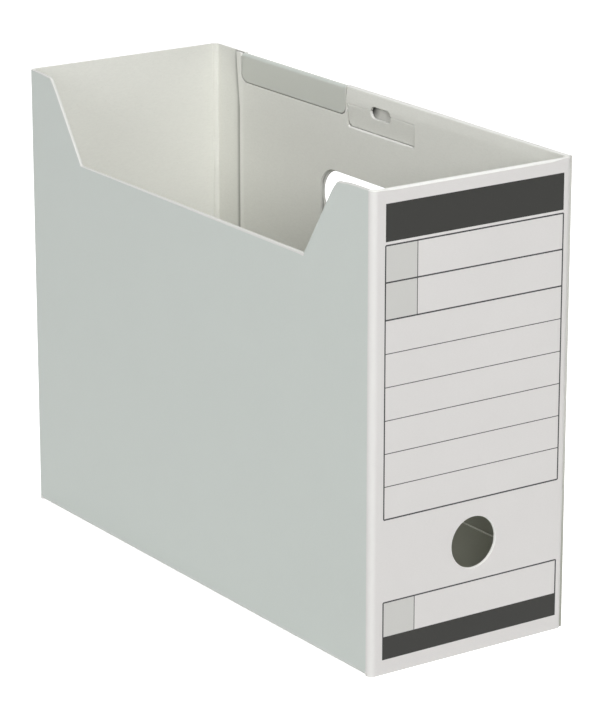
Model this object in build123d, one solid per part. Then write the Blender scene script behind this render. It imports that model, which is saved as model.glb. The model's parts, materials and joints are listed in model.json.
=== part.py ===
from build123d import *
import math
import os

os.makedirs("parts", exist_ok=True)

# A tall open-topped file box, folded from one sheet of thick card and made of the panels between its folds.
# Sizes are in millimetres and angles in degrees. The box stands on z = 0 with the origin at the middle of its
# base. The label panel faces -Y, the notched side faces -X, and the side with the hand hole, which is two
# layers thick, faces +X.

# Overall size
width = 102.0
depth = 269.0
height = 206.5

# Board and folds
board = 1.3
corner_fold_inside = 1.7  # inside radius of the upright corner folds
tight_fold_inside = 0.7  # inside radius of the base folds and of the fold to the inner layer
layer_gap = 0.7  # air between the two layers of the far side
glue_gap = 0.1  # glue film between a base flap and the wall that it is glued to
hinge_clearance = 0.3  # round each hinge bead and at the ends of the hinged flaps

# Notch in the top edge of the near side, measured from the front and back faces
notch_depth = 36.2
notch_front_margin = 24.9
notch_front_run = 23.3
notch_back_margin = 19.4
notch_back_run = 25.3
notch_rim_radius = 3.5
notch_floor_radius = 1.0

# Finger hole in the label panel
finger_hole_diameter = 22.6
finger_hole_height = 48.8
finger_hole_offset = 1.5

# Hand hole: an obround in the outer layer and a deeper rounded rectangle in the inner one
hand_hole_drop = 53.0
hand_hole_length = 90.0
hand_hole_height = 23.0
lining_hole_length = 88.0
lining_hole_height = 32.0
lining_hole_radius = 10.0
lining_hole_shift = 2.8

# Free edges of the two layers of the far side
outer_layer_setback = 0.5
free_edge_margin = 24.8
free_edge_flare = 2.3
free_edge_flare_height = 26.0

# Turnover tab of the outer layer
tab_length = 82.2
tab_back_margin = 27.0
tab_drop = 12.5
tab_corner_radius = 4.0
tab_clearance = 1.0

# Lock flap of the inner layer
web = 1.0  # card left between the two cut-outs
lock_width = 50.7
crease_drop = 8.3
lock_cutout_drop = 18.3
lock_end_gap = 1.15
lock_corner_radius = 2.5
lock_tilt = 8.0
slot_length = 15.0
slot_height = 5.5
window_lip = 0.5
window_clearance = 0.2

# Flaps of the base
base_flap_height = 28.0
base_flap_taper = 6.0
base_flap_clearance = 3.0

# Places that several pieces share
half_width = width / 2
half_depth = depth / 2
corner_radius = corner_fold_inside + board
tight_radius = tight_fold_inside + board
outer_layer_x = half_width - board
inner_layer_x = outer_layer_x - layer_gap - board
inner_layer_back_x = inner_layer_x + board
panel_end = half_depth - corner_radius
lining_front = -half_depth + tight_radius
base_end = half_depth - board - glue_gap - tight_radius
base_far_x = inner_layer_x - glue_gap - tight_radius
hand_hole_z = height - hand_hole_drop

tab_back = half_depth - tab_back_margin
tab_front = tab_back - tab_length
tab_middle = (tab_front + tab_back) / 2
tab_bead_radius = board + layer_gap / 2
tab_axis_x = half_width - tab_bead_radius
tab_axis_z = height - tab_bead_radius

lock_back = tab_front - tab_clearance - web
lock_front = lock_back - lock_width
lock_middle = (lock_front + lock_back) / 2
lock_bead_radius = board / 2
lock_axis_x = inner_layer_x + lock_bead_radius
crease_z = height - crease_drop
lock_cutout_floor = height - lock_cutout_drop
lock_flap_end = lock_cutout_floor + lock_end_gap


def span(first, last):
    """Rectangle between two opposite corners."""
    middle = ((first[0] + last[0]) / 2, (first[1] + last[1]) / 2)
    return Pos(*middle) * Rectangle(abs(last[0] - first[0]), abs(last[1] - first[1]))


def round_corner(sketch, corner, radius):
    """Round the corner of a sketch that lies nearest to a point."""
    nearest = sketch.vertices().sort_by_distance((corner[0], corner[1], 0))[0]
    return fillet(nearest, radius)


def quarter_ring(middle, radius, side):
    """Section of a fold: the quarter of a ring of board that lies on one side of its middle."""
    ring = Circle(radius) - Circle(radius - board)
    quadrant = span((0, 0), (side[0] * radius, side[1] * radius))
    return Pos(*middle) * (ring & quadrant)


def side_board(outline, face_x):
    """Board parallel to the long sides, from an outline in (y, z), with its lower-x face at face_x."""
    return extrude(Plane.YZ.offset(face_x) * outline, amount=board)


def bead(axis_x, axis_z, radius, front, back):
    """Round bar along Y between two places."""
    bar = Rot(90, 0, 0) * Cylinder(radius, back - front)
    return Pos(axis_x, (front + back) / 2, axis_z) * bar


def lock_slot():
    """Obround slot that straddles the crease of the lock flap, drawn in (y, z)."""
    return Pos(lock_middle, crease_z) * SlotOverall(slot_length, slot_height)


def make_near_side_panel():
    outline = span((-panel_end, tight_radius), (panel_end, height))
    notch_floor = height - notch_depth
    front_rim = (-half_depth + notch_front_margin, height)
    front_floor = (front_rim[0] + notch_front_run, notch_floor)
    back_rim = (half_depth - notch_back_margin, height)
    back_floor = (back_rim[0] - notch_back_run, notch_floor)
    outline -= Polygon(front_rim, front_floor, back_floor, back_rim, align=None)
    for corner in (front_floor, back_floor):
        outline = round_corner(outline, corner, notch_floor_radius)
    for corner in (front_rim, back_rim):
        outline = round_corner(outline, corner, notch_rim_radius)
    return side_board(outline, -half_width)


def make_front_panel():
    """Label panel with both of its corner folds: the left one meets the near side, the right one the lining."""
    left_end = -half_width + corner_radius
    right_end = inner_layer_back_x - tight_radius
    section = span((left_end, -half_depth), (right_end, -half_depth + board))
    section += quarter_ring((left_end, -panel_end), corner_radius, (-1, -1))
    section += quarter_ring((right_end, lining_front), tight_radius, (1, -1))
    panel = extrude(section, amount=height)
    hole = extrude(Plane.XZ * Circle(finger_hole_diameter / 2), amount=board, both=True)
    return panel - Pos(finger_hole_offset, -half_depth + board / 2, finger_hole_height) * hole


def make_back_panel():
    """Back panel with both of its corner folds: the right one meets the outer layer of the far side."""
    end = half_width - corner_radius
    section = span((-end, half_depth), (end, half_depth - board))
    for side in (-1, 1):
        section += quarter_ring((side * end, panel_end), corner_radius, (side, 1))
    return extrude(section, amount=height)


def lock_window():
    """Window of the outer layer that the end of the tilted lock flap reaches into, drawn in (y, z)."""
    tilt = math.radians(lock_tilt)
    room = layer_gap - window_clearance + lock_bead_radius * (1 - math.cos(tilt))
    top = crease_z + lock_bead_radius * math.sin(tilt) - room / math.tan(tilt)
    return span((lock_front, lock_cutout_floor + window_lip), (lock_back, top))


def make_far_outer_panel():
    outline = span((-half_depth + outer_layer_setback, 0), (panel_end, height))
    outline -= Pos(0, hand_hole_z) * SlotOverall(hand_hole_length, hand_hole_height)
    outline -= lock_window()
    panel = side_board(outline, outer_layer_x)
    groove_radius = tab_bead_radius + hinge_clearance
    groove_front = tab_front - hinge_clearance
    groove_back = tab_back + hinge_clearance
    panel -= bead(tab_axis_x, tab_axis_z, groove_radius, groove_front, groove_back)
    rim = span((groove_front, tab_axis_z), (groove_back, height + board))
    return panel - side_board(rim, outer_layer_x)


def make_far_inner_panel():
    free_edge = half_depth - free_edge_margin
    outline = Polygon(
        (lining_front, 0),
        (free_edge, 0),
        (free_edge, height - free_edge_flare_height),
        (free_edge + free_edge_flare, height),
        (lining_front, height),
        align=None,
    )
    hand_hole = RectangleRounded(lining_hole_length, lining_hole_height, lining_hole_radius)
    outline -= Pos(0, hand_hole_z - lining_hole_shift) * hand_hole

    tab_floor = height - tab_drop - tab_clearance
    tab_cutout = span((tab_front - tab_clearance, tab_floor), (tab_back + tab_clearance, height))
    for corner_y in (tab_front - tab_clearance, tab_back + tab_clearance):
        tab_cutout = round_corner(tab_cutout, (corner_y, tab_floor), tab_corner_radius)
    outline -= tab_cutout

    lock_cutout = span((lock_front, lock_cutout_floor), (lock_back, crease_z))
    lock_cutout = round_corner(lock_cutout, (lock_back, lock_cutout_floor), lock_corner_radius)
    outline -= lock_cutout
    outline -= lock_slot()

    seat = bead(lock_axis_x, crease_z, lock_bead_radius + hinge_clearance, lock_front, lock_back)
    return side_board(outline, inner_layer_x) - seat


def make_base_panel():
    """Base with its long fold, which meets the lower edge of the near side."""
    near_x = -half_width + tight_radius
    section = span((near_x, 0), (base_far_x, board))
    section += quarter_ring((near_x, tight_radius), tight_radius, (-1, -1))
    return extrude(Plane.XZ * section, amount=base_end, both=True)


def make_base_flap(length):
    """Flap turned up from an edge of the base, with its fold. It faces +X, is centred on Y and starts at x = 0."""
    section = quarter_ring((0, tight_radius), tight_radius, (1, -1))
    section += span((tight_fold_inside, tight_radius), (tight_radius, base_flap_height))
    flap = extrude(Plane.XZ * section, amount=length / 2, both=True)
    end_z = base_flap_height
    for side in (-1, 1):
        end_y = side * length / 2
        inner_y = end_y - side * base_flap_taper
        corner = Polygon((end_y, tight_radius), (end_y, end_z), (inner_y, end_z), align=None)
        flap -= extrude(Plane.YZ * corner, amount=tight_radius)
    return flap


def make_end_base_flap(side):
    """Base flap at the front (side -1) or back (side 1)."""
    near_end = -half_width + board + base_flap_clearance
    far_end = base_far_x + tight_fold_inside - base_flap_clearance
    flap = make_base_flap(far_end - near_end)
    return Pos((near_end + far_end) / 2, side * base_end, 0) * Rot(0, 0, side * 90) * flap


def make_far_base_flap():
    length = 2 * (base_end + tight_fold_inside - base_flap_clearance)
    return Pos(base_far_x, 0, 0) * make_base_flap(length)


def make_turnover_tab():
    """Tab folded over the top edge, with the round bead of its fold."""
    end_z = height - tab_drop
    outline = span((tab_front, end_z), (tab_back, tab_axis_z))
    for corner_y in (tab_front, tab_back):
        outline = round_corner(outline, (corner_y, end_z), tab_corner_radius)
    tab = side_board(outline, inner_layer_x)
    return tab + bead(tab_axis_x, tab_axis_z, tab_bead_radius, tab_front, tab_back)


def make_lock_flap():
    """Flap hinged on the crease, with its lower edge pressed outward."""
    front = lock_front + hinge_clearance
    back = lock_back - hinge_clearance
    outline = span((front, lock_flap_end), (back, crease_z))
    outline = round_corner(outline, (back, lock_flap_end), lock_corner_radius)
    flap = side_board(outline, inner_layer_x)
    flap += bead(lock_axis_x, crease_z, lock_bead_radius, front, back)
    flap -= extrude(Plane.YZ.offset(inner_layer_x) * lock_slot(), amount=board)
    hinge = Pos(lock_axis_x, 0, crease_z)
    return hinge * Rot(0, -lock_tilt, 0) * hinge.inverse() * flap


pieces = {
    "near_side_panel": make_near_side_panel(),
    "front_panel": make_front_panel(),
    "back_panel": make_back_panel(),
    "far_outer_panel": make_far_outer_panel(),
    "far_inner_panel": make_far_inner_panel(),
    "base_panel": make_base_panel(),
    "front_base_flap": make_end_base_flap(-1),
    "back_base_flap": make_end_base_flap(1),
    "far_base_flap": make_far_base_flap(),
    "turnover_tab": make_turnover_tab(),
    "lock_flap": make_lock_flap(),
}

for name, piece in pieces.items():
    piece.label = name
    export_step(piece, os.path.join("parts", name + ".step"))

print("turnover tab axis: x", tab_axis_x, "y", tab_middle, "z", tab_axis_z)
print("lock flap axis: x", lock_axis_x, "y", lock_middle, "z", crease_z)
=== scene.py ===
import json
import math

import bmesh
import bpy
from bpy.props import FloatProperty, FloatVectorProperty, PointerProperty
from bpy.types import Operator, Panel, PropertyGroup
from mathutils import Euler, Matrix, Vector
from mathutils.bvhtree import BVHTree
from mathutils.geometry import intersect_point_line


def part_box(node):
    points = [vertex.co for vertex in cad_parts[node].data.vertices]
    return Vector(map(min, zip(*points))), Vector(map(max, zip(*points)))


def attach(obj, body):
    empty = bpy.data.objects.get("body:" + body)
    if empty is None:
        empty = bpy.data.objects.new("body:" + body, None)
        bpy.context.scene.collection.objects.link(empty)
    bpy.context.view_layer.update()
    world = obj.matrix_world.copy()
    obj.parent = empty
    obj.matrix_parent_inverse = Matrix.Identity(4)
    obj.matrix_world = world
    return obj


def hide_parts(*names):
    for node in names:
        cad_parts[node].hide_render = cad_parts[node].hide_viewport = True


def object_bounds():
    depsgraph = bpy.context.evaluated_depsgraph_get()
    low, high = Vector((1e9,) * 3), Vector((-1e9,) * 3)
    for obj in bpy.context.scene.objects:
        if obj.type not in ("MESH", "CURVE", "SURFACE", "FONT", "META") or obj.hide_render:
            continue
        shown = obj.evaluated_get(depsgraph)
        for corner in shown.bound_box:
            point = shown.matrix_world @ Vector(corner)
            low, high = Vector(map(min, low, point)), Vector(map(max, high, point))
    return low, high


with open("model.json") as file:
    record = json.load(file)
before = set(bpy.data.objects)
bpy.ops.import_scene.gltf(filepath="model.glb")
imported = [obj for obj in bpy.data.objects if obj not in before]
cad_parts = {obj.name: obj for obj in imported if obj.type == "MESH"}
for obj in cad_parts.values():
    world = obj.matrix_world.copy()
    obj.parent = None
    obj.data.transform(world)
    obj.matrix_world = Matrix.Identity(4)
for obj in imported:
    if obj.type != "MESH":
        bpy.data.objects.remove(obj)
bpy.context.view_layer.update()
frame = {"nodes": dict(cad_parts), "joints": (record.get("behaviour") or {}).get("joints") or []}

bl_info = {
    "name": "File Box Dresser",
    "version": (1, 0, 0),
    "blender": (4, 5, 0),
    "location": "3D View > Sidebar > File Box",
    "description": "Dresses a folded card file box with worn card, crushed edges and a printed form",
    "category": "Object",
}

# Lengths are in metres. The label faces -Y, the notched side faces -X, and the side of two layers faces +X.
MM = 0.001
HAIR = 0.1 * MM  # slack for telling whether a point lies on a face
X, Y, Z = 0, 1, 2

JOINTS = {joint["name"]: joint for joint in frame["joints"]}
BOX_LOW, BOX_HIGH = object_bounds()
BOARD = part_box("near_side_panel")[1].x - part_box("near_side_panel")[0].x

# Material slots of a card piece: its two faces and its cut edges, then the kinds with painted shade
COAT, LINING, RAW, SHADED_RAW, GAP_SHADE, STRIP = range(6)
# Material slots of the label panel after its first three
INK, RULE, TINT = range(3, 6)

# Camera at the photograph's viewing angle, in metres and degrees
CAMERA_PLACE = (-0.8169, -1.2035, 0.5466)
CAMERA_TURN = 55.626
CAMERA_DIP = 17.31

LAMP_TARGET = Vector((0, 0, 0.1))
LAMP_DISTANCE = 3.5


def color_property(name, description, default):
    return FloatVectorProperty(
        name=name, description=description, subtype="COLOR", size=3, min=0, max=1, default=default
    )


def length_property(name, description, default):
    return FloatProperty(
        name=name, description=description, subtype="DISTANCE", unit="LENGTH", default=default
    )


def lamp_property(name, description, default):
    return FloatProperty(name=name, description=description, min=0, unit="POWER", default=default)


class CardSettings(PropertyGroup):
    coat: color_property("Coat", "Coated outer face of the card", (0.607, 0.649, 0.617))
    label: color_property("Label face", "Outer face of the label panel", (0.688, 0.673, 0.659))
    # Painted light: a lighter copy of the coat for the turned-over tab, standing in for the light that falls
    # on it.
    tab: color_property(
        "Tab coat", "Coated face of the turned-over tab, greyer from handling", (0.678, 0.697, 0.643)
    )
    stretched: color_property("Stretched coat", "Pale coat where a fold has cracked it", (0.725, 0.72, 0.7))
    lining: color_property("Lining", "Uncoated inner face of the card", (0.862, 0.865, 0.812))
    # Painted shade: the lining is painted darker toward the base, standing in for the shade deep inside the
    # box.
    deep: color_property(
        "Deep lining", "Lining near the base, dull as it shows through the finger hole", (0.41, 0.415, 0.365)
    )
    # Painted shade: the outer layer's lining is painted darker where the inner layer covers it, standing in
    # for the shade between the layers.
    shaded_between: color_property(
        "Between the layers", "Dusty lining of the outer layer under the inner one", (0.7, 0.7, 0.66)
    )
    # Painted shadow: a dark band beside the inner layer's free edge, standing in for the shadow the edge
    # casts.
    edge_shadow_color: color_property("Dirt", "Dirt line beside the inner layer's free edge", (0.46, 0.46, 0.43))
    slot_shade: color_property(
        "Slot shade", "Darkest place behind the lock flap's slot", (0.015, 0.015, 0.015)
    )
    raw: color_property("Cut edge", "Pulp that shows where the card is cut", (0.9, 0.9, 0.87))
    # Painted shade: a darker copy of the cut-edge pulp, for cut faces inside the box and in the gaps, where
    # shade falls.
    shaded_raw: color_property(
        "Inner cut edge", "Duller pulp along the cut-outs inside the box", (0.62, 0.62, 0.58)
    )
    arris: length_property("Cut arris", "Rounding of a die-cut edge", 0.22 * MM)
    worn_arris: length_property("Worn arris", "Rounding of the edges that hands rub most", 1.0 * MM)
    bead_reach: length_property(
        "Bead reach", "How far the crushed inside of a corner fold reaches along each wall", 1.9 * MM
    )
    bead_swell: length_property(
        "Bead swell", "How far the crushed inside of a corner fold swells inward", 0.55 * MM
    )


class FormSettings(PropertyGroup):
    ink: color_property("Ink", "Solid black of the printed form", (0.025, 0.025, 0.022))
    rule_ink: color_property("Rule ink", "Thin rules of the printed form", (0.045, 0.045, 0.045))
    tint: color_property("Tint", "Shaded cells of the printed form", (0.58, 0.578, 0.555))
    left: length_property("Left margin", "From the side of the panel to the form", 6.5 * MM)
    right: length_property("Right margin", "From the side of the panel to the form", 5.8 * MM)
    divider: length_property("Divider", "Width of the shaded cells", 15.8 * MM)
    bold_rule: length_property("Bold rule", "Thickness of the frame lines", 0.64 * MM)
    fine_rule: length_property("Fine rule", "Thickness of the writing lines", 0.36 * MM)


class StageSettings(PropertyGroup):
    floor: color_property("Floor", "Pale floor", (0.9, 0.9, 0.9))
    sky: FloatProperty(name="Room light", description="Even light from all round", min=0, default=0.194)
    key: lamp_property("Key light", "Strength of the main lamp, before the label", 57.0)
    fill: lamp_property("Fill light", "Strength of the lamp at the notched side", 18.7)
    top: lamp_property("Top light", "Strength of the lamp overhead", 42.2)
    rear: lamp_property("Rear light", "Strength of the lamp behind the box", 30.0)
    lens: FloatProperty(
        name="Lens", description="Focal length of the camera in millimetres", min=20, default=172.4
    )


class Finish:
    """A procedural material, built node by node around one Principled shader."""

    def __init__(self, name, roughness, specular):
        self.material = bpy.data.materials.new(name)
        self.material.use_nodes = True
        self.tree = self.material.node_tree
        self.shader = self.tree.nodes["Principled BSDF"]
        self.shader.inputs["Roughness"].default_value = roughness
        self.shader.inputs["Specular IOR Level"].default_value = specular
        self.place = self.tree.nodes.new("ShaderNodeTexCoord")

    def link(self, source, target):
        self.tree.links.new(source, target)

    def node(self, kind, settings=None, **inputs):
        """Add a node. An input goes by its socket's name, or by i and its number, as a value or a socket."""
        made = self.tree.nodes.new(kind)
        for key, value in (settings or {}).items():
            setattr(made, key, value)
        for key, value in inputs.items():
            numbered = key[0] == "i" and key[1:].isdigit()
            socket = made.inputs[int(key[1:])] if numbered else made.inputs[key]
            if isinstance(value, bpy.types.NodeSocket):
                self.link(value, socket)
            else:
                socket.default_value = value
        return made

    def axis(self, index):
        """The object's own place along one axis, in metres."""
        return self.node("ShaderNodeSeparateXYZ", i0=self.place.outputs["Object"]).outputs[index]

    def math(self, operation, first, second=0.0, clamp=False):
        settings = {"operation": operation, "use_clamp": clamp}
        return self.node("ShaderNodeMath", settings, i0=first, i1=second).outputs[0]

    def noise(self, cells, detail, roughness=0.5, stretch=None):
        """Noise over the object's own place, in cells per metre. stretch squeezes it along an axis."""
        vector = self.place.outputs["Object"]
        if stretch:
            vector = self.node("ShaderNodeMapping", i0=vector, Scale=stretch).outputs[0]
        made = self.node("ShaderNodeTexNoise", Vector=vector, Scale=cells, Detail=detail, Roughness=roughness)
        return made.outputs["Fac"]

    def spread(self, value, source, target):
        """Map the source range of a value to the target range, held at its ends."""
        low, high = source
        to_low, to_high = target
        made = self.node("ShaderNodeMapRange", i0=value, i1=low, i2=high, i3=to_low, i4=to_high)
        return made.outputs[0]

    def blend(self, factor, first, second, kind="MIX"):
        made = self.node("ShaderNodeMix", {"data_type": "RGBA", "blend_type": kind})
        amount, under, over = made.inputs[0], made.inputs[6], made.inputs[7]
        for socket, value in ((amount, factor), (under, first), (over, second)):
            if isinstance(value, bpy.types.NodeSocket):
                self.link(value, socket)
            elif socket == amount:
                socket.default_value = value
            else:
                socket.default_value = (*value, 1.0)
        return made.outputs[2]

    def tone(self, color, factor):
        """Lighten or darken a colour by a factor that varies from place to place."""
        grey = self.node("ShaderNodeCombineColor", i0=factor, i1=factor, i2=factor).outputs[0]
        return self.blend(1.0, color, grey, "MULTIPLY")

    def fold_mask(self):
        """Highest where the surface turns halfway between two walls, and nothing on the flat."""
        axes = self.node("ShaderNodeSeparateXYZ", i0=self.place.outputs["Normal"]).outputs
        products = [self.math("MULTIPLY", axes[a], axes[b]) for a, b in ((X, Y), (X, Z), (Y, Z))]
        sizes = [self.math("ABSOLUTE", product) for product in products]
        largest = self.math("MAXIMUM", self.math("MAXIMUM", sizes[0], sizes[1]), sizes[2])
        return self.math("MULTIPLY", largest, 2.0, clamp=True)

    def bump(self, height, distance, strength):
        made = self.node("ShaderNodeBump", Height=height, Distance=distance, Strength=strength)
        self.link(made.outputs[0], self.shader.inputs["Normal"])

    def paint(self, color):
        self.link(color, self.shader.inputs["Base Color"])


def shade(color, factor):
    return tuple(min(1.0, channel * factor) for channel in color)


def coated_card(name, color, stretched):
    """Clay-coated card: nearly smooth, faintly clouded, with stretched and cracked coat on the folds."""
    finish = Finish(name, roughness=0.55, specular=0.35)
    clouds = finish.noise(cells=22.0, detail=4.0)
    fibre = finish.noise(cells=900.0, detail=4.0, roughness=0.65, stretch=(1.0, 1.0, 3.2))
    body = finish.blend(clouds, shade(color, 0.965), shade(color, 1.035))
    body = finish.tone(body, finish.spread(fibre, (0.25, 0.75), (0.975, 1.02)))
    cracks = finish.noise(cells=700.0, detail=5.0, roughness=0.7, stretch=(1.0, 1.0, 0.25))
    broken = finish.math("MULTIPLY", finish.fold_mask(), finish.spread(cracks, (0.42, 0.62), (0.7, 1.0)))
    worn = finish.blend(finish.math("MULTIPLY", broken, 0.85), body, stretched)
    finish.link(finish.spread(clouds, (0.3, 0.7), (0.5, 0.62)), finish.shader.inputs["Roughness"])
    swell = finish.math("MULTIPLY", finish.noise(cells=160.0, detail=2.0), 1.5)
    finish.bump(finish.math("ADD", fibre, swell), distance=0.02 * MM, strength=0.5)
    finish.paint(worn)


def lining_card(name, color, shade_painter=None):
    """Bare inner face of the card: matt, with longer pulp fibres and a few flecks, painted darker toward the
    base as painted shade.

    The optional function after the colour takes the finish and its colour, and gives the colour with more
    painted shade.
    """
    finish = Finish(name, roughness=0.8, specular=0.2)
    clouds = finish.noise(cells=14.0, detail=5.0, roughness=0.55)
    fibre = finish.noise(cells=620.0, detail=5.0, roughness=0.7, stretch=(1.0, 1.0, 2.6))
    body = finish.blend(clouds, shade(color, 0.955), shade(color, 1.045))
    body = finish.tone(body, finish.spread(fibre, (0.25, 0.75), (0.96, 1.03)))
    cells = finish.node("ShaderNodeTexVoronoi", Vector=finish.place.outputs["Object"], Scale=420.0)
    fleck = finish.math("LESS_THAN", cells.outputs["Distance"], 0.09)
    body = finish.blend(finish.math("MULTIPLY", fleck, 0.12), body, shade(color, 0.55))
    if shade_painter:
        body = shade_painter(finish, body)
    finish.bump(fibre, distance=0.04 * MM, strength=0.7)
    finish.paint(painted_depth_shade(finish, body))


def painted_depth_shade(finish, body):
    """Painted shade: the inside's colour is darkened toward the base, below what shows over the notch."""
    dullest, clear = 30 * MM, 88 * MM
    cover = finish.spread(finish.axis(Z), (dullest, clear), (1.0, 0.0))
    return finish.blend(cover, body, bpy.context.scene.file_box_card.deep)


def paint_edge_shadow(finish, body):
    """Painted shadow beside the inner layer's free back edge, further back beside its flared top."""
    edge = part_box("far_inner_panel")[1]
    flare_foot, flare_top, flare_reach = edge.z - 22 * MM, edge.z - 8 * MM, 1.6 * MM
    flare = finish.spread(finish.axis(Z), (flare_foot, flare_top), (0.0, flare_reach))
    reach = finish.math("SUBTRACT", finish.axis(Y), flare)
    full, faded = edge.y + 1.6 * MM, edge.y + 3.8 * MM
    cover = finish.spread(reach, (full, faded), (1.0, 0.0))
    return finish.blend(cover, body, bpy.context.scene.file_box_card.edge_shadow_color)


def paint_slot_shadow(finish, body):
    """Painted shade behind the slot of the lock flap, darkest at its upper back end."""
    axis = Vector(JOINTS["lock_hinge"]["pos_m"])
    corner = Vector((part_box("far_outer_panel")[0].x, axis.y + 8.5 * MM, axis.z + 1.5 * MM))
    distance = {"operation": "DISTANCE"}
    away = finish.node("ShaderNodeVectorMath", distance, i0=finish.place.outputs["Object"], i1=corner)
    full, faded = 0.8 * MM, 6.0 * MM
    cover = finish.spread(away.outputs["Value"], (full, faded), (1.0, 0.0))
    return finish.blend(cover, body, bpy.context.scene.file_box_card.slot_shade)


def raw_card(name, color, inside=False):
    """Cut edge of the card: pale pulp in pressed layers, slightly furred. Inside the box it is painted darker
    toward the base, as painted shade.
    """
    finish = Finish(name, roughness=0.9, specular=0.15)
    layers = finish.noise(cells=2600.0, detail=3.0, roughness=0.6, stretch=(1.0, 0.06, 0.06))
    fuzz = finish.noise(cells=1500.0, detail=4.0, roughness=0.7)
    body = finish.blend(layers, shade(color, 0.93), shade(color, 1.05))
    finish.bump(finish.math("ADD", layers, fuzz), distance=0.05 * MM, strength=0.8)
    finish.paint(painted_depth_shade(finish, body) if inside else body)


def printed(name, color, mottle):
    """Offset ink on the coated label face, a little uneven in its cover."""
    finish = Finish(name, roughness=0.5, specular=0.3)
    cover = finish.noise(cells=1100.0, detail=4.0, roughness=0.65)
    finish.bump(cover, distance=0.01 * MM, strength=0.4)
    finish.paint(finish.blend(cover, shade(color, 1.0 - mottle), shade(color, 1.0 + mottle)))


class FILEBOX_OT_finishes(Operator):
    """Make the card and ink finishes"""
    bl_idname = "filebox.finishes"
    bl_label = "Finishes"

    def execute(self, context):
        card = context.scene.file_box_card
        form = context.scene.file_box_form
        coated_card("coat", card.coat, card.stretched)
        coated_card("label_face", card.label, card.stretched)
        # Painted light: the tab's coat is a lighter copy of the coat.
        coated_card("lit_tab_coat", card.tab, card.coat)
        lining_card("lining", card.lining)
        # Painted shade: the lining between the layers, darkest behind the lock flap's slot.
        lining_card("gap_shade_lining", card.shaded_between, paint_slot_shadow)
        # Painted shadow: a dark band on the lining beside the inner layer's free edge.
        lining_card("strip_lining", card.lining, paint_edge_shadow)
        raw_card("raw_edge", card.raw)
        # Painted shade: darker copies of the cut-edge pulp, for the notched side and for cut faces inside the
        # box.
        raw_card("shaded_side_edge", shade(card.raw, 0.84))
        raw_card("shaded_inner_edge", card.shaded_raw, inside=True)
        printed("solid_ink", form.ink, mottle=0.12)
        printed("rule_ink", form.rule_ink, mottle=0.15)
        printed("tint", form.tint, mottle=0.02)
        return {"FINISHED"}


def get_finishes(*names):
    missing = [name for name in names if name not in bpy.data.materials]
    if missing:
        raise RuntimeError(f"these finishes aren't made yet: {missing}")
    return [bpy.data.materials[name] for name in names]


def surroundings(skip):
    """Search tree of every CAD node but one, to find the faces that meet another panel of the sheet."""
    vertices, triangles = [], []
    for name, node in frame["nodes"].items():
        if name == skip:
            continue
        start = len(vertices)
        vertices += [vertex.co.copy() for vertex in node.data.vertices]
        triangles += [[start + index for index in polygon.vertices] for polygon in node.data.polygons]
    return BVHTree.FromPolygons(vertices, triangles)


def on_hinge(place, normal, hinge):
    """True for the round faces of a hinge fold, given as the point on its axis and its radius."""
    axis, radius = hinge
    away = Vector((place.x - axis.x, place.z - axis.z))
    return away.length < radius * 1.02 and abs(normal.y) < 0.5


def sort_faces(mesh, seam_marks, neighbours, hinge, turned):
    """Give each face its slot: coat outside, lining inside, raw where the card is cut.

    A face is a flat side of the board where the far side is one board's thickness behind it. turned is for
    card that is folded over and shows its coat inward. Cut faces that meet another panel of the sheet get a
    seam mark.
    """
    tree = BVHTree.FromBMesh(mesh)
    middle = (BOX_LOW + BOX_HIGH) / 2
    step = 0.01 * MM
    for face in mesh.faces:
        place = face.calc_center_median()
        normal = face.normal
        outward = normal.dot(place - middle) > 0
        if hinge and on_hinge(place, normal, hinge):
            face.material_index = COAT if turned else LINING
            continue
        spot, opposite, _, depth = tree.ray_cast(place - normal * step, -normal)
        if spot is not None and depth < 1.2 * BOARD and opposite.dot(normal) < -0.95:
            face.material_index = COAT if outward != turned else LINING
            continue
        face.material_index = RAW
        spot, _, _, depth = neighbours.ray_cast(place - normal * step, normal)
        face[seam_marks] = int(spot is not None and depth < 2 * step)


def is_cut_edge(edge, seam_marks):
    """True where a cut face as deep as the board meets a flat side of it squarely."""
    if len(edge.link_faces) != 2:
        return False
    cut, flat = sorted(edge.link_faces, key=lambda face: face.material_index != RAW)
    if cut.material_index != RAW or flat.material_index == RAW or cut[seam_marks]:
        return False
    depths = [vertex.co.dot(flat.normal) for vertex in cut.verts]
    return abs(cut.normal.dot(flat.normal)) < 0.1 and max(depths) - min(depths) > 0.95 * BOARD


def planes(axis, places):
    """Cutting planes square to an axis at places along it, each as a point and a normal."""
    normal = [float(index == axis) for index in range(3)]
    return [([place * part for part in normal], normal) for place in places]


def unbent(place):
    return place.copy()


def unworn(place):
    return 0


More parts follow.
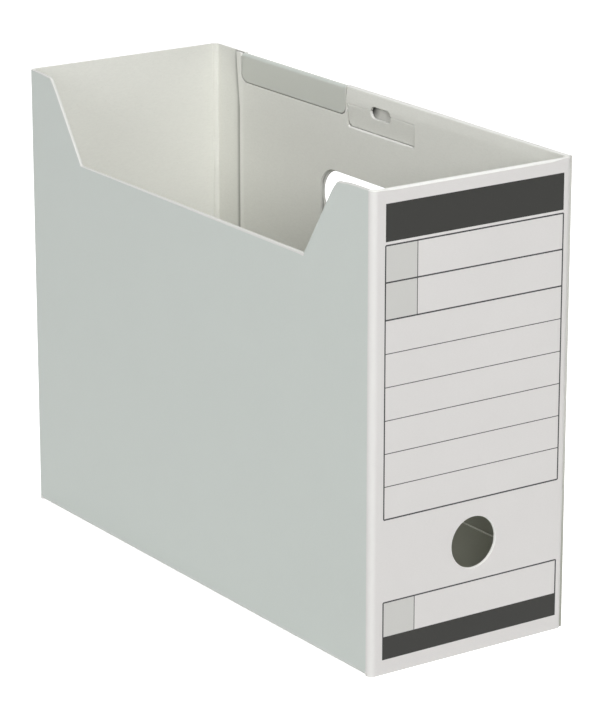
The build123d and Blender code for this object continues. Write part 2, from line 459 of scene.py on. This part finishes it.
def card_object(
    node, finishes, hinge=None, turned=False, cuts=(), bend=unbent, worn=unworn, wrapped=True, reshape=None
):
    """New mesh object from a CAD node: welded, sorted by face, with crushed arrises along its cut edges.

    cuts are planes that divide the faces, bend gives each point its new place, and worn gives how far an edge
    is rubbed rounder at a place, from 0 to 1. wrapped takes the coat and the lining round the start of each
    arris. reshape is the last change to the points.
    """
    card = bpy.context.scene.file_box_card
    mesh = bmesh.new()
    mesh.from_mesh(frame["nodes"][node].data)
    bmesh.ops.remove_doubles(mesh, verts=mesh.verts, dist=0.001 * MM)
    mesh.normal_update()
    seam_marks = mesh.faces.layers.int.new("seam")
    sort_faces(mesh, seam_marks, surroundings(node), hinge, turned)
    bmesh.ops.dissolve_limit(
        mesh, angle_limit=math.radians(0.5), verts=mesh.verts, edges=mesh.edges, delimit={"MATERIAL"}
    )
    for place, normal in cuts:
        geometry = [*mesh.verts, *mesh.edges, *mesh.faces]
        bmesh.ops.bisect_plane(mesh, geom=geometry, plane_co=place, plane_no=normal, dist=0.0001 * MM)
    mesh.normal_update()
    weights = mesh.edges.layers.float.new("bevel_weight_edge")
    for edge in mesh.edges:
        edge[weights] = int(is_cut_edge(edge, seam_marks))
    rubbed = rubbed_edges(mesh, weights, worn, bend)
    for vertex in mesh.verts:
        vertex.co = bend(vertex.co)
    data = bpy.data.meshes.new(node + "_card")
    mesh.to_mesh(data)
    mesh.free()
    for material in finishes:
        data.materials.append(material)
    made = bpy.data.objects.new(node + "_card", data)
    bpy.context.scene.collection.objects.link(made)
    crush(made, card.arris, wrapped)
    rub(made, rubbed, worn, card.arris, card.worn_arris)
    if reshape:
        reshape(made)
    even = made.modifiers.new("even", "WEIGHTED_NORMAL")
    even.keep_sharp = True
    settle(made)
    return made


def crush(made, width, wrapped):
    """Round the weighted edges of an object, and where it is wrapped, take its flat sides' finish round."""
    flats = bmesh.new()
    flats.from_mesh(made.data)
    sides = BVHTree.FromBMesh(flats)
    flats.free()
    kinds = [polygon.material_index for polygon in made.data.polygons]
    for polygon in made.data.polygons:
        polygon.use_smooth = True
    mark_sharp(made.data)
    bevel = made.modifiers.new("arris", "BEVEL")
    bevel.width = width
    bevel.segments = 3
    bevel.limit_method = "WEIGHT"
    bevel.use_clamp_overlap = False
    bevel.material = RAW
    settle(made)
    for polygon in made.data.polygons:
        if polygon.material_index != RAW or not wrapped:
            continue
        for _, normal, index, _ in sides.find_nearest_range(polygon.center, 0.8 * width):
            if kinds[index] != RAW and normal.dot(polygon.normal) > 0.85:
                polygon.material_index = kinds[index]


def rubbed_edges(mesh, weights, worn, bend):
    """The ends of each cut edge that is to be rubbed, each end as its place before and after the bend."""
    found = []
    for edge in mesh.edges:
        ends = [end.co.copy() for end in edge.verts]
        if edge[weights] and max(worn(end) for end in ends):
            found.append([(end, bend(end)) for end in ends])
    return found


def rub(made, edges, worn, arris, worn_arris):
    """Widen the rounding of the rubbed edges, which are given by their ends before and after the bend."""
    for vertex in made.data.vertices:
        found = None
        for (first, start), (second, end) in edges:
            _, share = intersect_point_line(vertex.co, start, end)
            share = max(0.0, min(1.0, share))
            spot = start.lerp(end, share)
            reach = (vertex.co - spot).length
            if reach < 1.02 * arris and (found is None or reach < found[0]):
                found = (reach, spot, first.lerp(second, share))
        if found:
            grow = 1 + (worn_arris / arris - 1) * worn(found[2])
            vertex.co = found[1] + (vertex.co - found[1]) * grow


def mark_sharp(data, limit=math.radians(40)):
    """Mark the edges where two faces turn by more than a limit, unless they are to be rounded."""
    mesh = bmesh.new()
    mesh.from_mesh(data)
    weights = mesh.edges.layers.float.get("bevel_weight_edge")
    for edge in mesh.edges:
        rounded = weights is not None and edge[weights] > 0
        if len(edge.link_faces) == 2 and edge.calc_face_angle(0.0) > limit and not rounded:
            edge.smooth = False
    mesh.to_mesh(data)
    mesh.free()


def settle(made):
    """Replace an object's mesh by the one that its modifiers make."""
    bpy.context.view_layer.update()
    graph = bpy.context.evaluated_depsgraph_get()
    final = bpy.data.meshes.new_from_object(made.evaluated_get(graph))
    made.modifiers.clear()
    made.data = final


def dress(node, body, slot, finishes, **shape):
    """Put a detailed card piece in a CAD node's place, on the node's body."""
    made = card_object(node, finishes, **shape)
    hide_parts(node)
    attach(made, body)
    return made


def ease(share):
    """Smooth step from 0 to 1."""
    share = max(0.0, min(1.0, share))
    return share * share * (3 - 2 * share)


def ledge_stretcher(face, floor, front, back, scale):
    """Gives a change that stretches the rounding of a level ledge downward.

    The ledge runs from front to back beside the panel face at a place on x, and scale gives the stretch for a
    share from 0 at its front end to 1 at its back end.
    """
    depth = 1.2 * bpy.context.scene.file_box_card.worn_arris

    def stretch(panel):
        for vertex in panel.data.vertices:
            place = vertex.co
            drop = floor - place.z
            if front - MM < place.y < back + MM and abs(place.x - face) < BOARD and 0 < drop < depth:
                place.z = floor - drop * scale((place.y - front) / (back - front))

    return stretch


def dress_near_side():
    """The notched side, with a rubbed rim, a blunt notch floor, and the notch's two upper corners knocked."""
    points = [vertex.co for vertex in frame["nodes"]["near_side_panel"].data.vertices]
    notch = [place for place in points if abs(place.y) < 90 * MM and place.z > BOX_HIGH.z / 2]
    floor = min(place.z for place in notch)
    ends = [place.y for place in notch if place.z < floor + HAIR]
    front, back = min(ends), max(ends)
    tops = [place.y for place in points if place.z > BOX_HIGH.z - HAIR]
    front_corner = max(y for y in tops if y < 0)
    back_corner = min(y for y in tops if y > 0)
    # Each upper corner of the notch, the way from it to the card, and how far it is knocked back
    corners = ((front_corner, -1, 0.85 * MM), (back_corner, 1, 0.5 * MM))
    knock_reach = 9 * MM

    def rubbed(place):
        """Half as much on the notch's slants as on the rim and the notch's floor, none at the back fold."""
        if place.x > BOX_LOW.x + HAIR or place.z < BOX_HIGH.z / 2:
            return 0
        slant = floor + 3 * MM < place.z < BOX_HIGH.z - 3 * MM
        return (0.2 if slant else 0.4) * ease((BOX_HIGH.y - 5 * MM - place.y) / (8 * MM))

    def blunted(share):
        """Widest at the front end of the notch's floor, where it ends in a small blunt swelling."""
        return 0.7 + 1.3 * ease(1 - share) + 0.6 * ease(1 - share * (back - front) / (4 * MM))

    def knocked(place):
        """Both upper corners of the notch pushed down and toward the card."""
        for corner, toward, amount in corners:
            away = Vector((place.y - corner, place.z - BOX_HIGH.z)).length
            push = amount * ease(1 - away / knock_reach)
            place = Vector((place.x, place.y + 0.45 * toward * push, place.z - 0.9 * push))
        return place

    steps = 12
    marks = [front + reach * MM for reach in (1.5, 3.0, 5.0)]
    marks += [front + (back - front) * step / steps for step in range(1, steps)]
    marks += [side * (BOX_HIGH.y - reach * MM) for side in (-1, 1) for reach in (5, 7, 9, 12)]
    marks += [corner + toward * reach * MM for corner, toward, _ in corners for reach in (1, 2, 3, 4.5, 6)]
    levels = [BOX_HIGH.z - reach * MM for reach in (2.5, 3.5, 5, 6.5)]
    dress(
        "near_side_panel", "box", "card_shell", get_finishes("coat", "lining", "shaded_side_edge"),
        cuts=planes(Y, marks) + planes(Z, levels), bend=knocked, worn=rubbed, wrapped=False,
        reshape=ledge_stretcher(BOX_LOW.x, floor, front, back, blunted),
    )


def lean_in(place):
    """The outer layer's free front end springs in against the inner layer, and stops short of the fold."""
    start, run, amount = -32 * MM, 80 * MM, 0.66 * MM
    end = BOX_LOW.y + 1.4 * MM
    return Vector((place.x - amount * ease((start - place.y) / run), max(place.y, end), place.z))


def dress_far_outer():
    """The outer layer of the far side, painted darker inside where the inner layer covers it, as painted
    shade between the layers.
    """
    marks = [BOX_LOW.y + reach * MM for reach in (3, 8, 16, 26, 38, 50, 62, 74, 84, 92, 98)]
    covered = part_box("far_inner_panel")[1].y - 6 * MM
    names = ("coat", "lining", "raw_edge", "shaded_inner_edge", "gap_shade_lining", "strip_lining")
    layer = dress(
        "far_outer_panel", "box", "card_shell", get_finishes(*names),
        cuts=planes(Y, [*marks, covered]), bend=lean_in,
    )
    for polygon in layer.data.polygons:
        middle = polygon.center
        if polygon.material_index == LINING:
            shaded_between = BOX_LOW.y + 8 * MM < middle.y < covered
            polygon.material_index = GAP_SHADE if shaded_between else STRIP
        # Painted shade: cut faces below the rim take the darker copy of the pulp.
        elif polygon.material_index == RAW and middle.z < BOX_HIGH.z - 1 * MM:
            polygon.material_index = SHADED_RAW


class FILEBOX_OT_shell(Operator):
    """Dress the outer walls and the base"""
    bl_idname = "filebox.shell"
    bl_label = "Outer walls and base"

    def execute(self, context):
        dress_near_side()
        for node in ("back_panel", "base_panel"):
            dress(node, "box", "card_shell", get_finishes("coat", "lining", "raw_edge"))
        dress_far_outer()
        return {"FINISHED"}


def spring_open(place):
    """The inner layer's free back edge springs inward, and its rim is pressed against the outer layer.

    The top of its hand hole sags, and the ledge under the lock flap is swollen.
    """
    low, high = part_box("far_inner_panel")
    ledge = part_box("lock_flap")[0].z - 1.15 * MM
    edge = 0.4 * MM * ease((place.y - (high.y - 5.3 * MM)) / (2.5 * MM))
    edge += 0.3 * MM * ease((place.y - (high.y - 3 * MM)) / (3 * MM))
    rim = 0.0
    if place.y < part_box("turnover_tab")[0].y:
        front = ease((place.y - low.y - 3 * MM) / (12 * MM))
        rim = 0.6 * MM * ease((place.z - (high.z - 6 * MM)) / (6 * MM)) * front
    sag_foot, sag_top = high.z - 50 * MM, high.z - 36 * MM
    lift = 0.0
    if abs(place.y) < 50 * MM and sag_foot < place.z < sag_top:
        lift = -0.8 * MM * ease((place.z - sag_foot) / (8 * MM))
    if abs(place.z - ledge) < HAIR:
        lift = 0.3 * MM
    return Vector((place.x - edge + rim, place.y, place.z + lift))


def dress_far_inner():
    """The inner layer of the far side, rubbed along its rim and along the ledge under the lock flap."""
    low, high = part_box("far_inner_panel")
    lock_low, lock_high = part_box("lock_flap")
    tab_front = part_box("turnover_tab")[0].y

    def at_ledge(place):
        return lock_low.z - 2.5 * MM < place.z < lock_low.z - 0.5 * MM

    def rubbed(place):
        if place.x > low.x + HAIR:
            return 0
        if place.z > high.z - HAIR and place.y < tab_front - 0.5 * MM:
            return 0.8 * ease((place.y - low.y - 3 * MM) / (8 * MM))
        inside = min(place.y - lock_low.y, lock_high.y - place.y)
        return 0.9 * ease(inside / (4 * MM)) if at_ledge(place) else 0

    def crushed(share):
        return 1 + 1.3 * ease(5 * share) * ease(5 * (1 - share))

    cuts = planes(Y, [high.y - reach * MM for reach in (5.3, 4.6, 4.0, 2.8, 1.8, 0.8)])
    cuts += planes(Z, [high.z - reach * MM for reach in (1.5, 3, 4.5, 6, 10.5, 12.5, 14.5)])
    cuts += planes(Y, [low.y + reach * MM for reach in (3, 7, 11, 15)])
    cuts += planes(Y, [lock_low.y + reach * MM for reach in (2, 4, 7)])
    cuts += planes(Y, [lock_high.y - reach * MM for reach in (2, 4, 7)])
    ledge = (lock_low.z - 0.85 * MM, lock_low.y, lock_high.y)
    layer = dress(
        "far_inner_panel", "box", "card_lining", get_finishes("coat", "lining", "raw_edge", "shaded_inner_edge"),
        cuts=cuts, bend=spring_open, worn=rubbed, reshape=ledge_stretcher(low.x, *ledge, crushed),
    )
    for polygon in layer.data.polygons:
        middle = polygon.center
        # Painted light and shade: cut faces at the rim and those facing up at the ledge keep the bright pulp,
        # the rest take the darker copy.
        bright = middle.z > high.z - 1 * MM or (at_ledge(middle) and polygon.normal.z > 0.1)
        if polygon.material_index == RAW and not bright:
            polygon.material_index = SHADED_RAW


class FILEBOX_OT_lining(Operator):
    """Dress the inner layer of the far side and the glued base flaps"""
    bl_idname = "filebox.lining"
    bl_label = "Inner layer and base flaps"

    def execute(self, context):
        dress_far_inner()
        # Painted shade: their cut edges take the darker copy of the pulp.
        for node in ("front_base_flap", "back_base_flap", "far_base_flap"):
            dress(node, "box", "card_lining", get_finishes("coat", "lining", "shaded_inner_edge"))
        return {"FINISHED"}


def form_layout(form):
    """Printed rectangles of the form as (left, bottom, right, top, slot), later ones on top."""
    left = BOX_LOW.x + form.left
    right = BOX_HIGH.x - form.right
    divider = left + form.divider
    bold, fine = form.bold_rule / 2, form.fine_rule / 2
    # Heights above the base of the head band, the table's lines, and the foot box with its band
    head_foot, head_top = 184.65 * MM, 200.35 * MM
    table_top, second_line, third_line, table_foot = 183.2 * MM, 167.85 * MM, 152.2 * MM, 67.75 * MM
    box_top, band_top, band_foot = 31.75 * MM, 16.68 * MM, 6.6 * MM
    rows = 6
    row = (third_line - table_foot) / rows

    def level(height, half):
        return (left, height - half, right, height + half, RULE)

    def upright(place, low, high, half):
        return (place - half, low, place + half, high, RULE)

    layout = [(left, head_foot, right, head_top, INK)]
    layout.append((left, third_line, divider, table_top, TINT))
    layout.append((left, band_top, divider, box_top, TINT))
    layout += [level(third_line - row * step, fine) for step in range(1, rows)]
    layout += [level(height, bold) for height in (table_top, second_line, third_line, table_foot, box_top)]
    layout.append(upright(divider, third_line, table_top, fine))
    layout.append(upright(divider, band_top, box_top, fine))
    layout += [upright(place, table_foot, table_top, bold) for place in (left, right)]
    layout += [upright(place, band_foot, box_top, bold) for place in (left, right)]
    layout.append((left, band_foot, right, band_top, INK))
    return layout


class FILEBOX_OT_label(Operator):
    """Dress the label panel and print its bare form"""
    bl_idname = "filebox.label"
    bl_label = "Label panel"

    def execute(self, context):
        layout = form_layout(context.scene.file_box_form)
        face_y = BOX_LOW.y
        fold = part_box("near_side_panel")[0].y - face_y
        turn = Vector((BOX_LOW.x + fold, face_y + fold))

        def rubbed(place):
            """Rubbed a little round the near fold, most along the rim, and not at the far fold."""
            if place.z < BOX_HIGH.z - HAIR:
                return 0
            if place.x < turn.x and (place.xy - turn).length > fold - 2 * HAIR:
                return 0.4
            if place.y > face_y + HAIR:
                return 0
            rise = 0.4 + 0.6 * ease((place.x - turn.x) / (9 * MM))
            return rise * ease((BOX_HIGH.x - 5 * MM - place.x) / (8 * MM))

        # Edges that fall together to a tenth of a micron are cut once
        digits = 7
        across = sorted({round(edge, digits) for left, _, right, _, _ in layout for edge in (left, right)})
        levels = sorted({round(edge, digits) for _, low, _, high, _ in layout for edge in (low, high)})
        marks = [side * (BOX_HIGH.x - reach * MM) for reach in (5, 7, 9, 12) for side in (-1, 1)]
        names = ("label_face", "lining", "raw_edge", "solid_ink", "rule_ink", "tint")
        panel = dress(
            "front_panel", "box", "card_label", get_finishes(*names),
            cuts=planes(X, across) + planes(Z, levels) + planes(X, marks), worn=rubbed, wrapped=False,
        )
        for polygon in panel.data.polygons:
            middle = polygon.center
            if polygon.material_index != COAT or middle.y > face_y + 0.1 * HAIR:
                continue
            for left, low, right, high, slot in layout:
                if left < middle.x < right and low < middle.z < high:
                    polygon.material_index = slot
        return {"FINISHED"}


def grow_tab(place):
    """The tab has spread in its cut-out and fills it closely."""
    low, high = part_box("turnover_tab")
    middle = (low.y + high.y) / 2
    wider, deeper = 0.6 * MM, 0.65 * MM
    start, run = high.z - 8 * MM, 3 * MM
    wide = 1 + wider / (high.y - middle)
    deep = deeper * ease((start - place.z) / run)
    return Vector((place.x, middle + (place.y - middle) * wide, place.z - deep))


def drop_lock(place):
    """The end of the lock flap comes down close to the ledge below it."""
    start, run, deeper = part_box("lock_flap")[0].z + 4 * MM, 3 * MM, 0.65 * MM
    return Vector((place.x, place.y, place.z - deeper * ease((start - place.z) / run)))


class FILEBOX_OT_flaps(Operator):
    """Dress the turnover tab and the lock flap, each on its own hinge"""
    bl_idname = "filebox.flaps"
    bl_label = "Turnover tab and lock flap"

    def execute(self, context):
        axis = Vector(JOINTS["turnover_hinge"]["pos_m"])
        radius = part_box("turnover_tab")[1].x - axis.x
        levels = [axis.z - reach * MM for reach in (2.2, 2.8, 3.4, 4.0, 5.0, 6.5, 8.0)]
        # Painted light and shade: the tab's coat is the lighter copy, and its cut edges take the darker copy
        # of the pulp.
        dress(
            "turnover_tab", "turnover_tab", "card_flap", get_finishes("lit_tab_coat", "lining", "shaded_inner_edge"),
            hinge=(axis, radius), turned=True, cuts=planes(Z, levels), bend=grow_tab,
        )
        axis = Vector(JOINTS["lock_hinge"]["pos_m"])
        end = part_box("lock_flap")[0].z
        flap = dress(
            "lock_flap", "lock_flap", "card_lining", get_finishes("coat", "lining", "raw_edge", "shaded_inner_edge"),
            hinge=(axis, BOARD / 2), cuts=planes(Z, [end + reach * MM for reach in (1.5, 2.5, 3.5)]),
            bend=drop_lock,
        )
        # Painted shade: cut faces near the flap's lower end take the darker copy of the pulp.
        for polygon in flap.data.polygons:
            if polygon.material_index == RAW and polygon.center.z < end + 2 * MM:
                polygon.material_index = SHADED_RAW
        return {"FINISHED"}


def corner_bead(name, corner, inward, low, high):
    """Crushed inside of an upright fold: a slim swollen bead that fills the corner."""
    card = bpy.context.scene.file_box_card
    steps, rise, fullness = 8, 2.5 * MM, 0.6
    start = Vector((corner.x + inward.x * card.bead_reach, corner.y))
    end = Vector((corner.x, corner.y + inward.y * card.bead_reach))
    levels = int((high - low) / rise)
    mesh = bmesh.new()
    rings = []
    for level in range(levels + 1):
        height = low + (high - low) * level / levels
        long_wave = 0.16 * math.sin(height * 310.0)
        short_wave = 0.1 * math.sin(height * 770.0 + 1.3)
        ripple = 1.0 + long_wave + short_wave
        ring = []
        for step in range(steps + 1):
            share = step / steps
            bulge = card.bead_swell * ripple * math.sin(math.pi * share) ** fullness
            place = start.lerp(end, share) + inward.normalized() * bulge
            ring.append(mesh.verts.new((place.x, place.y, height)))
        ring.append(mesh.verts.new((corner.x, corner.y, height)))
        rings.append(ring)
    for lower, upper in zip(rings, rings[1:]):
        for index in range(len(lower)):
            after = (index + 1) % len(lower)
            mesh.faces.new((lower[index], lower[after], upper[after], upper[index]))
    mesh.faces.new(rings[0])
    mesh.faces.new(rings[-1])
    bmesh.ops.recalc_face_normals(mesh, faces=mesh.faces)
    data = bpy.data.meshes.new(name)
    mesh.to_mesh(data)
    mesh.free()
    data.materials.append(get_finishes("lining")[0])
    for polygon in data.polygons:
        polygon.use_smooth = True
    mark_sharp(data)
    made = bpy.data.objects.new(name, data)
    bpy.context.scene.collection.objects.link(made)
    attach(made, "box")


class FILEBOX_OT_beads(Operator):
    """Lay the crushed beads along the inside of the upright folds"""
    bl_idname = "filebox.beads"
    bl_label = "Inside of the folds"

    def execute(self, context):
        low = 0.3 * MM
        high = BOX_HIGH.z - 0.2 * MM
        left = BOX_LOW.x + BOARD
        back = BOX_HIGH.y - BOARD
        front = BOX_LOW.y + BOARD
        outer = BOX_HIGH.x - BOARD
        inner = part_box("far_inner_panel")[0].x
        corners = {
            "back_left_bead": ((left, back), (1, -1)),
            "back_right_bead": ((outer, back), (-1, -1)),
            "front_left_bead": ((left, front), (1, 1)),
            "front_right_bead": ((inner, front), (-1, 1)),
        }
        for name, (corner, inward) in corners.items():
            corner_bead(name, Vector(corner), Vector(inward), low, high)
        return {"FINISHED"}


def shows_white(tree):
    """Socket that is 1 for the rays that should meet plain white: camera, glossy and transmission."""
    path = tree.nodes.new("ShaderNodeLightPath")
    seen = path.outputs["Is Camera Ray"]
    for kind in ("Is Glossy Ray", "Is Transmission Ray"):
        either = tree.nodes.new("ShaderNodeMath")
        either.operation = "MAXIMUM"
        tree.links.new(seen, either.inputs[0])
        tree.links.new(path.outputs[kind], either.inputs[1])
        seen = either.outputs[0]
    return seen


def pale_floor(color):
    """Pale floor that shows as white to the camera but keeps the shadow of what stands on it."""
    finish = Finish("pale_floor", roughness=0.9, specular=0.1)
    finish.shader.inputs["Base Color"].default_value = (*color, 1.0)
    glow = finish.node("ShaderNodeEmission", Strength=0.75)
    lift = finish.node("ShaderNodeAddShader", i0=finish.shader.outputs[0], i1=glow.outputs[0])
    pick = finish.node(
        "ShaderNodeMixShader", i0=shows_white(finish.tree), i1=finish.shader.outputs[0], i2=lift.outputs[0]
    )
    finish.link(pick.outputs[0], finish.tree.nodes["Material Output"].inputs["Surface"])
    return finish.material


def lay_floor(color):
    """Square floor under the box."""
    reach = 6.0
    corners = [(-reach, -reach, 0), (reach, -reach, 0), (reach, reach, 0), (-reach, reach, 0)]
    data = bpy.data.meshes.new("floor")
    data.from_pydata(corners, [], [range(len(corners))])
    data.materials.append(pale_floor(color))
    floor = bpy.data.objects.new("floor", data)
    bpy.context.scene.collection.objects.link(floor)


def light_world(strength):
    """Even room light that the camera sees as plain white."""
    world = bpy.data.worlds.new("room")
    world.use_nodes = True
    tree = world.node_tree
    sky = tree.nodes["Background"]
    sky.inputs["Color"].default_value = (1.0, 1.0, 1.0, 1.0)
    sky.inputs["Strength"].default_value = strength
    white = tree.nodes.new("ShaderNodeBackground")
    pick = tree.nodes.new("ShaderNodeMixShader")
    tree.links.new(shows_white(tree), pick.inputs[0])
    tree.links.new(sky.outputs[0], pick.inputs[1])
    tree.links.new(white.outputs[0], pick.inputs[2])
    tree.links.new(pick.outputs[0], tree.nodes["World Output"].inputs["Surface"])
    bpy.context.scene.world = world


def soft_lamp(name, turn, rise, size, power):
    """Square lamp, turned from the label's side toward the notched side and raised by angles in degrees."""
    turn, rise = math.radians(turn), math.radians(rise)
    way = Vector((-math.sin(turn) * math.cos(rise), -math.cos(turn) * math.cos(rise), math.sin(rise)))
    data = bpy.data.lights.new(name, "AREA")
    data.shape = "SQUARE"
    data.size = size
    data.energy = power
    made = bpy.data.objects.new(name, data)
    made.location = LAMP_TARGET + LAMP_DISTANCE * way
    made.rotation_euler = (-way).to_track_quat("-Z", "Y").to_euler()
    bpy.context.scene.collection.objects.link(made)


def aim_camera(lens):
    data = bpy.data.cameras.new("camera")
    data.lens = lens
    data.sensor_width = 36.0
    data.clip_start = 0.1
    data.clip_end = 50.0
    camera = bpy.data.objects.new("camera", data)
    camera.location = CAMERA_PLACE
    camera.rotation_euler = Euler((math.radians(90 - CAMERA_DIP), 0, math.radians(CAMERA_TURN - 90)))
    bpy.context.scene.collection.objects.link(camera)
    bpy.context.scene.camera = camera


class FILEBOX_OT_stage(Operator):
    """Set the floor, the soft light and the camera"""
    bl_idname = "filebox.stage"
    bl_label = "Stage"

    def execute(self, context):
        stage = context.scene.file_box_stage
        lay_floor(stage.floor)
        light_world(stage.sky)
        soft_lamp("key", turn=25, rise=22, size=1.1, power=stage.key)
        soft_lamp("fill", turn=70, rise=22, size=1.5, power=stage.fill)
        soft_lamp("top", turn=25, rise=80, size=1.4, power=stage.top)
        soft_lamp("rear", turn=215, rise=28, size=1.6, power=stage.rear)
        aim_camera(stage.lens)
        context.scene.view_settings.view_transform = "Standard"
        return {"FINISHED"}


class FILEBOX_PT_panel(Panel):
    """Settings and steps of the file box"""
    bl_idname = "FILEBOX_PT_panel"
    bl_label = "File Box"
    bl_space_type = "VIEW_3D"
    bl_region_type = "UI"
    bl_category = "File Box"

    def draw(self, context):
        scene = context.scene
        for group in (scene.file_box_card, scene.file_box_form, scene.file_box_stage):
            box = self.layout.box()
            for key in group.__annotations__:
                box.prop(group, key)
        for step in STEPS:
            self.layout.operator(step.bl_idname)


STEPS = (
    FILEBOX_OT_finishes,
    FILEBOX_OT_shell,
    FILEBOX_OT_lining,
    FILEBOX_OT_label,
    FILEBOX_OT_flaps,
    FILEBOX_OT_beads,
    FILEBOX_OT_stage,
)
CLASSES = (CardSettings, FormSettings, StageSettings, *STEPS, FILEBOX_PT_panel)


def register():
    for item in CLASSES:
        bpy.utils.register_class(item)
    bpy.types.Scene.file_box_card = PointerProperty(type=CardSettings)
    bpy.types.Scene.file_box_form = PointerProperty(type=FormSettings)
    bpy.types.Scene.file_box_stage = PointerProperty(type=StageSettings)


def unregister():
    del bpy.types.Scene.file_box_stage
    del bpy.types.Scene.file_box_form
    del bpy.types.Scene.file_box_card
    for item in reversed(CLASSES):
        bpy.utils.unregister_class(item)


def main():
    register()
    for step in STEPS:
        group, name = step.bl_idname.split(".")
        getattr(getattr(bpy.ops, group), name)()
    bpy.context.view_layer.update()


if __name__ == "__main__":
    main()
